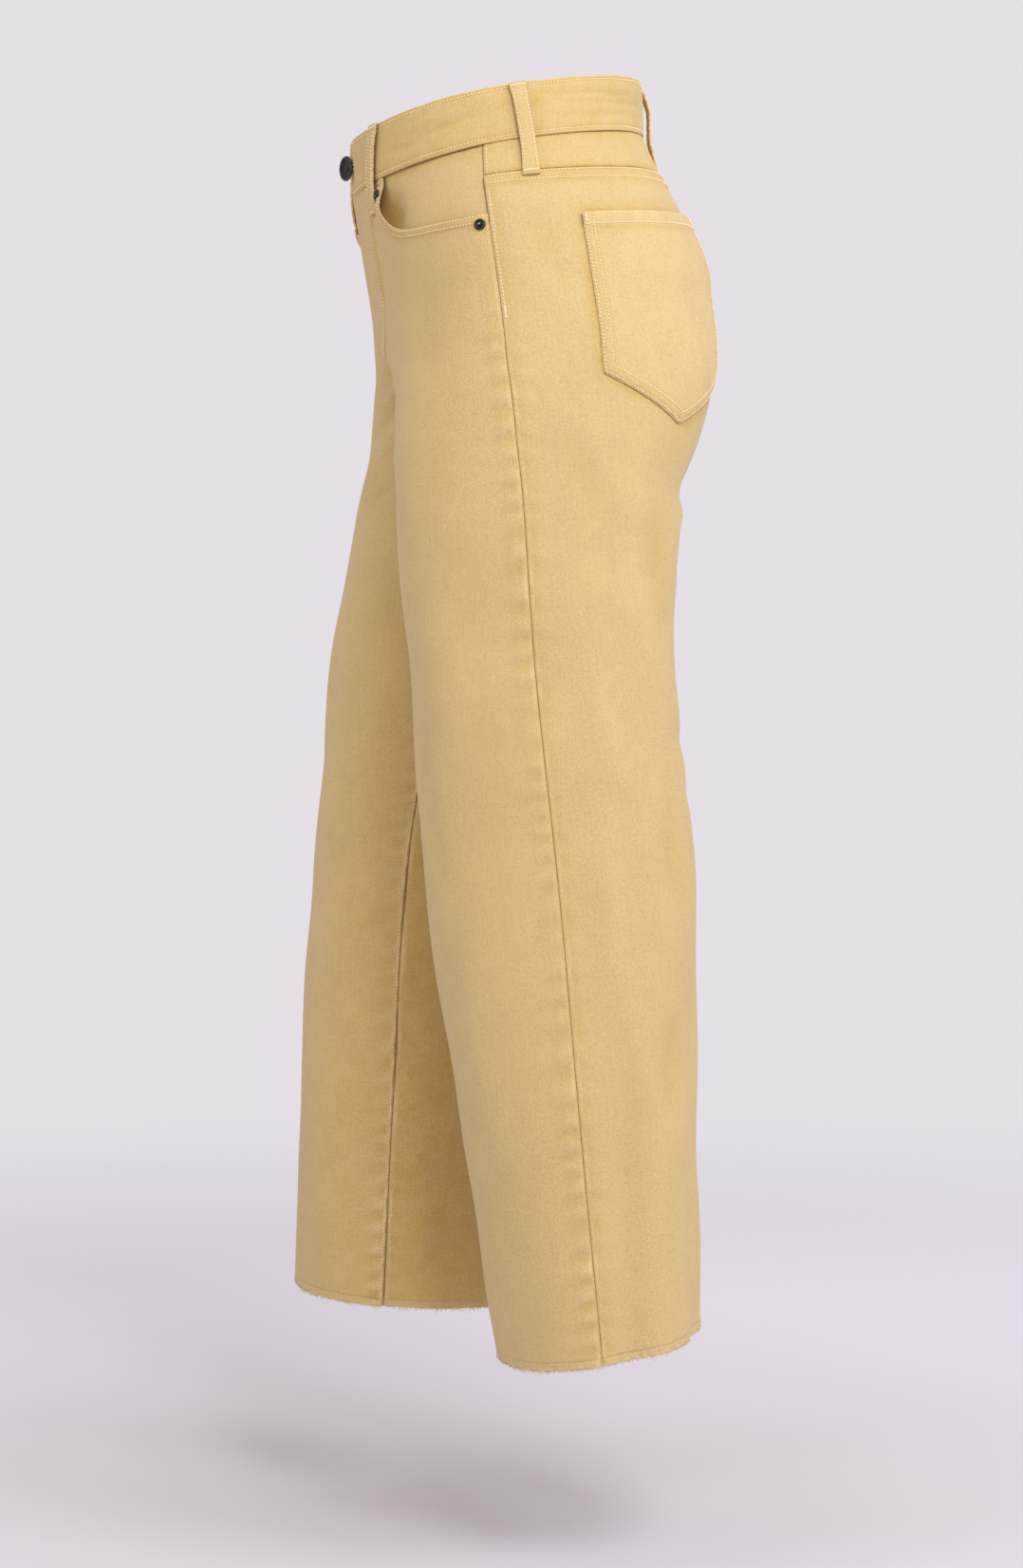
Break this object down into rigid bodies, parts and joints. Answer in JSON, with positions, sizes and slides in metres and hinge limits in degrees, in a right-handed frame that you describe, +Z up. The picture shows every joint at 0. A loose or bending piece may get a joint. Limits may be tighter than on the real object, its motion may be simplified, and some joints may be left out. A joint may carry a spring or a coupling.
{
  "type": "jeans",
  "caption": "High-rise cropped wide-leg five-pocket jeans in yellow denim with raw frayed hems, kept in the hollow shape they have when worn mid-step.",
  "frame": {"origin": "middle of the waist opening, level with the top of the waistband at the sides", "axes": "+Z up, the front of the garment faces -Y, the garment's own left is +X"},
  "size_m": [0.4066, 0.31, 0.9604],
  "materials": {
    "mustard_denim": "garment-dyed pale mustard bull denim, matt, softly brushed",
    "frayed_yarn": "loose cut yarn ends of the same cloth",
    "dark_gunmetal": "dark satin gunmetal plating",
    "zip_tape": "woven tape dyed to match",
    "zip_brass": "antiqued brass"
  },
  "bodies": {
    "root": {"waistband": "mustard_denim", "front_panel_left": "mustard_denim", "front_panel_right": "mustard_denim", "back_panel_left": "mustard_denim", "back_panel_right": "mustard_denim", "yoke_left": "mustard_denim", "yoke_right": "mustard_denim", "pocket_facing_left": "mustard_denim", "pocket_facing_right": "mustard_denim", "back_pocket_left": "mustard_denim", "back_pocket_right": "mustard_denim", "belt_loop_front_left": "mustard_denim", "belt_loop_front_right": "mustard_denim", "belt_loop_side_left": "mustard_denim", "belt_loop_side_right": "mustard_denim", "belt_loop_back": "mustard_denim", "frayed_hem_left": "frayed_yarn", "frayed_hem_right": "frayed_yarn", "button": "dark_gunmetal", "rivet_front_left": "dark_gunmetal", "rivet_front_right": "dark_gunmetal", "rivet_side_left": "dark_gunmetal", "rivet_side_right": "dark_gunmetal", "zip_tape": "zip_tape", "zip_chain": "zip_brass", "zip_slider": "zip_brass"}
  },
  "joints": []
}
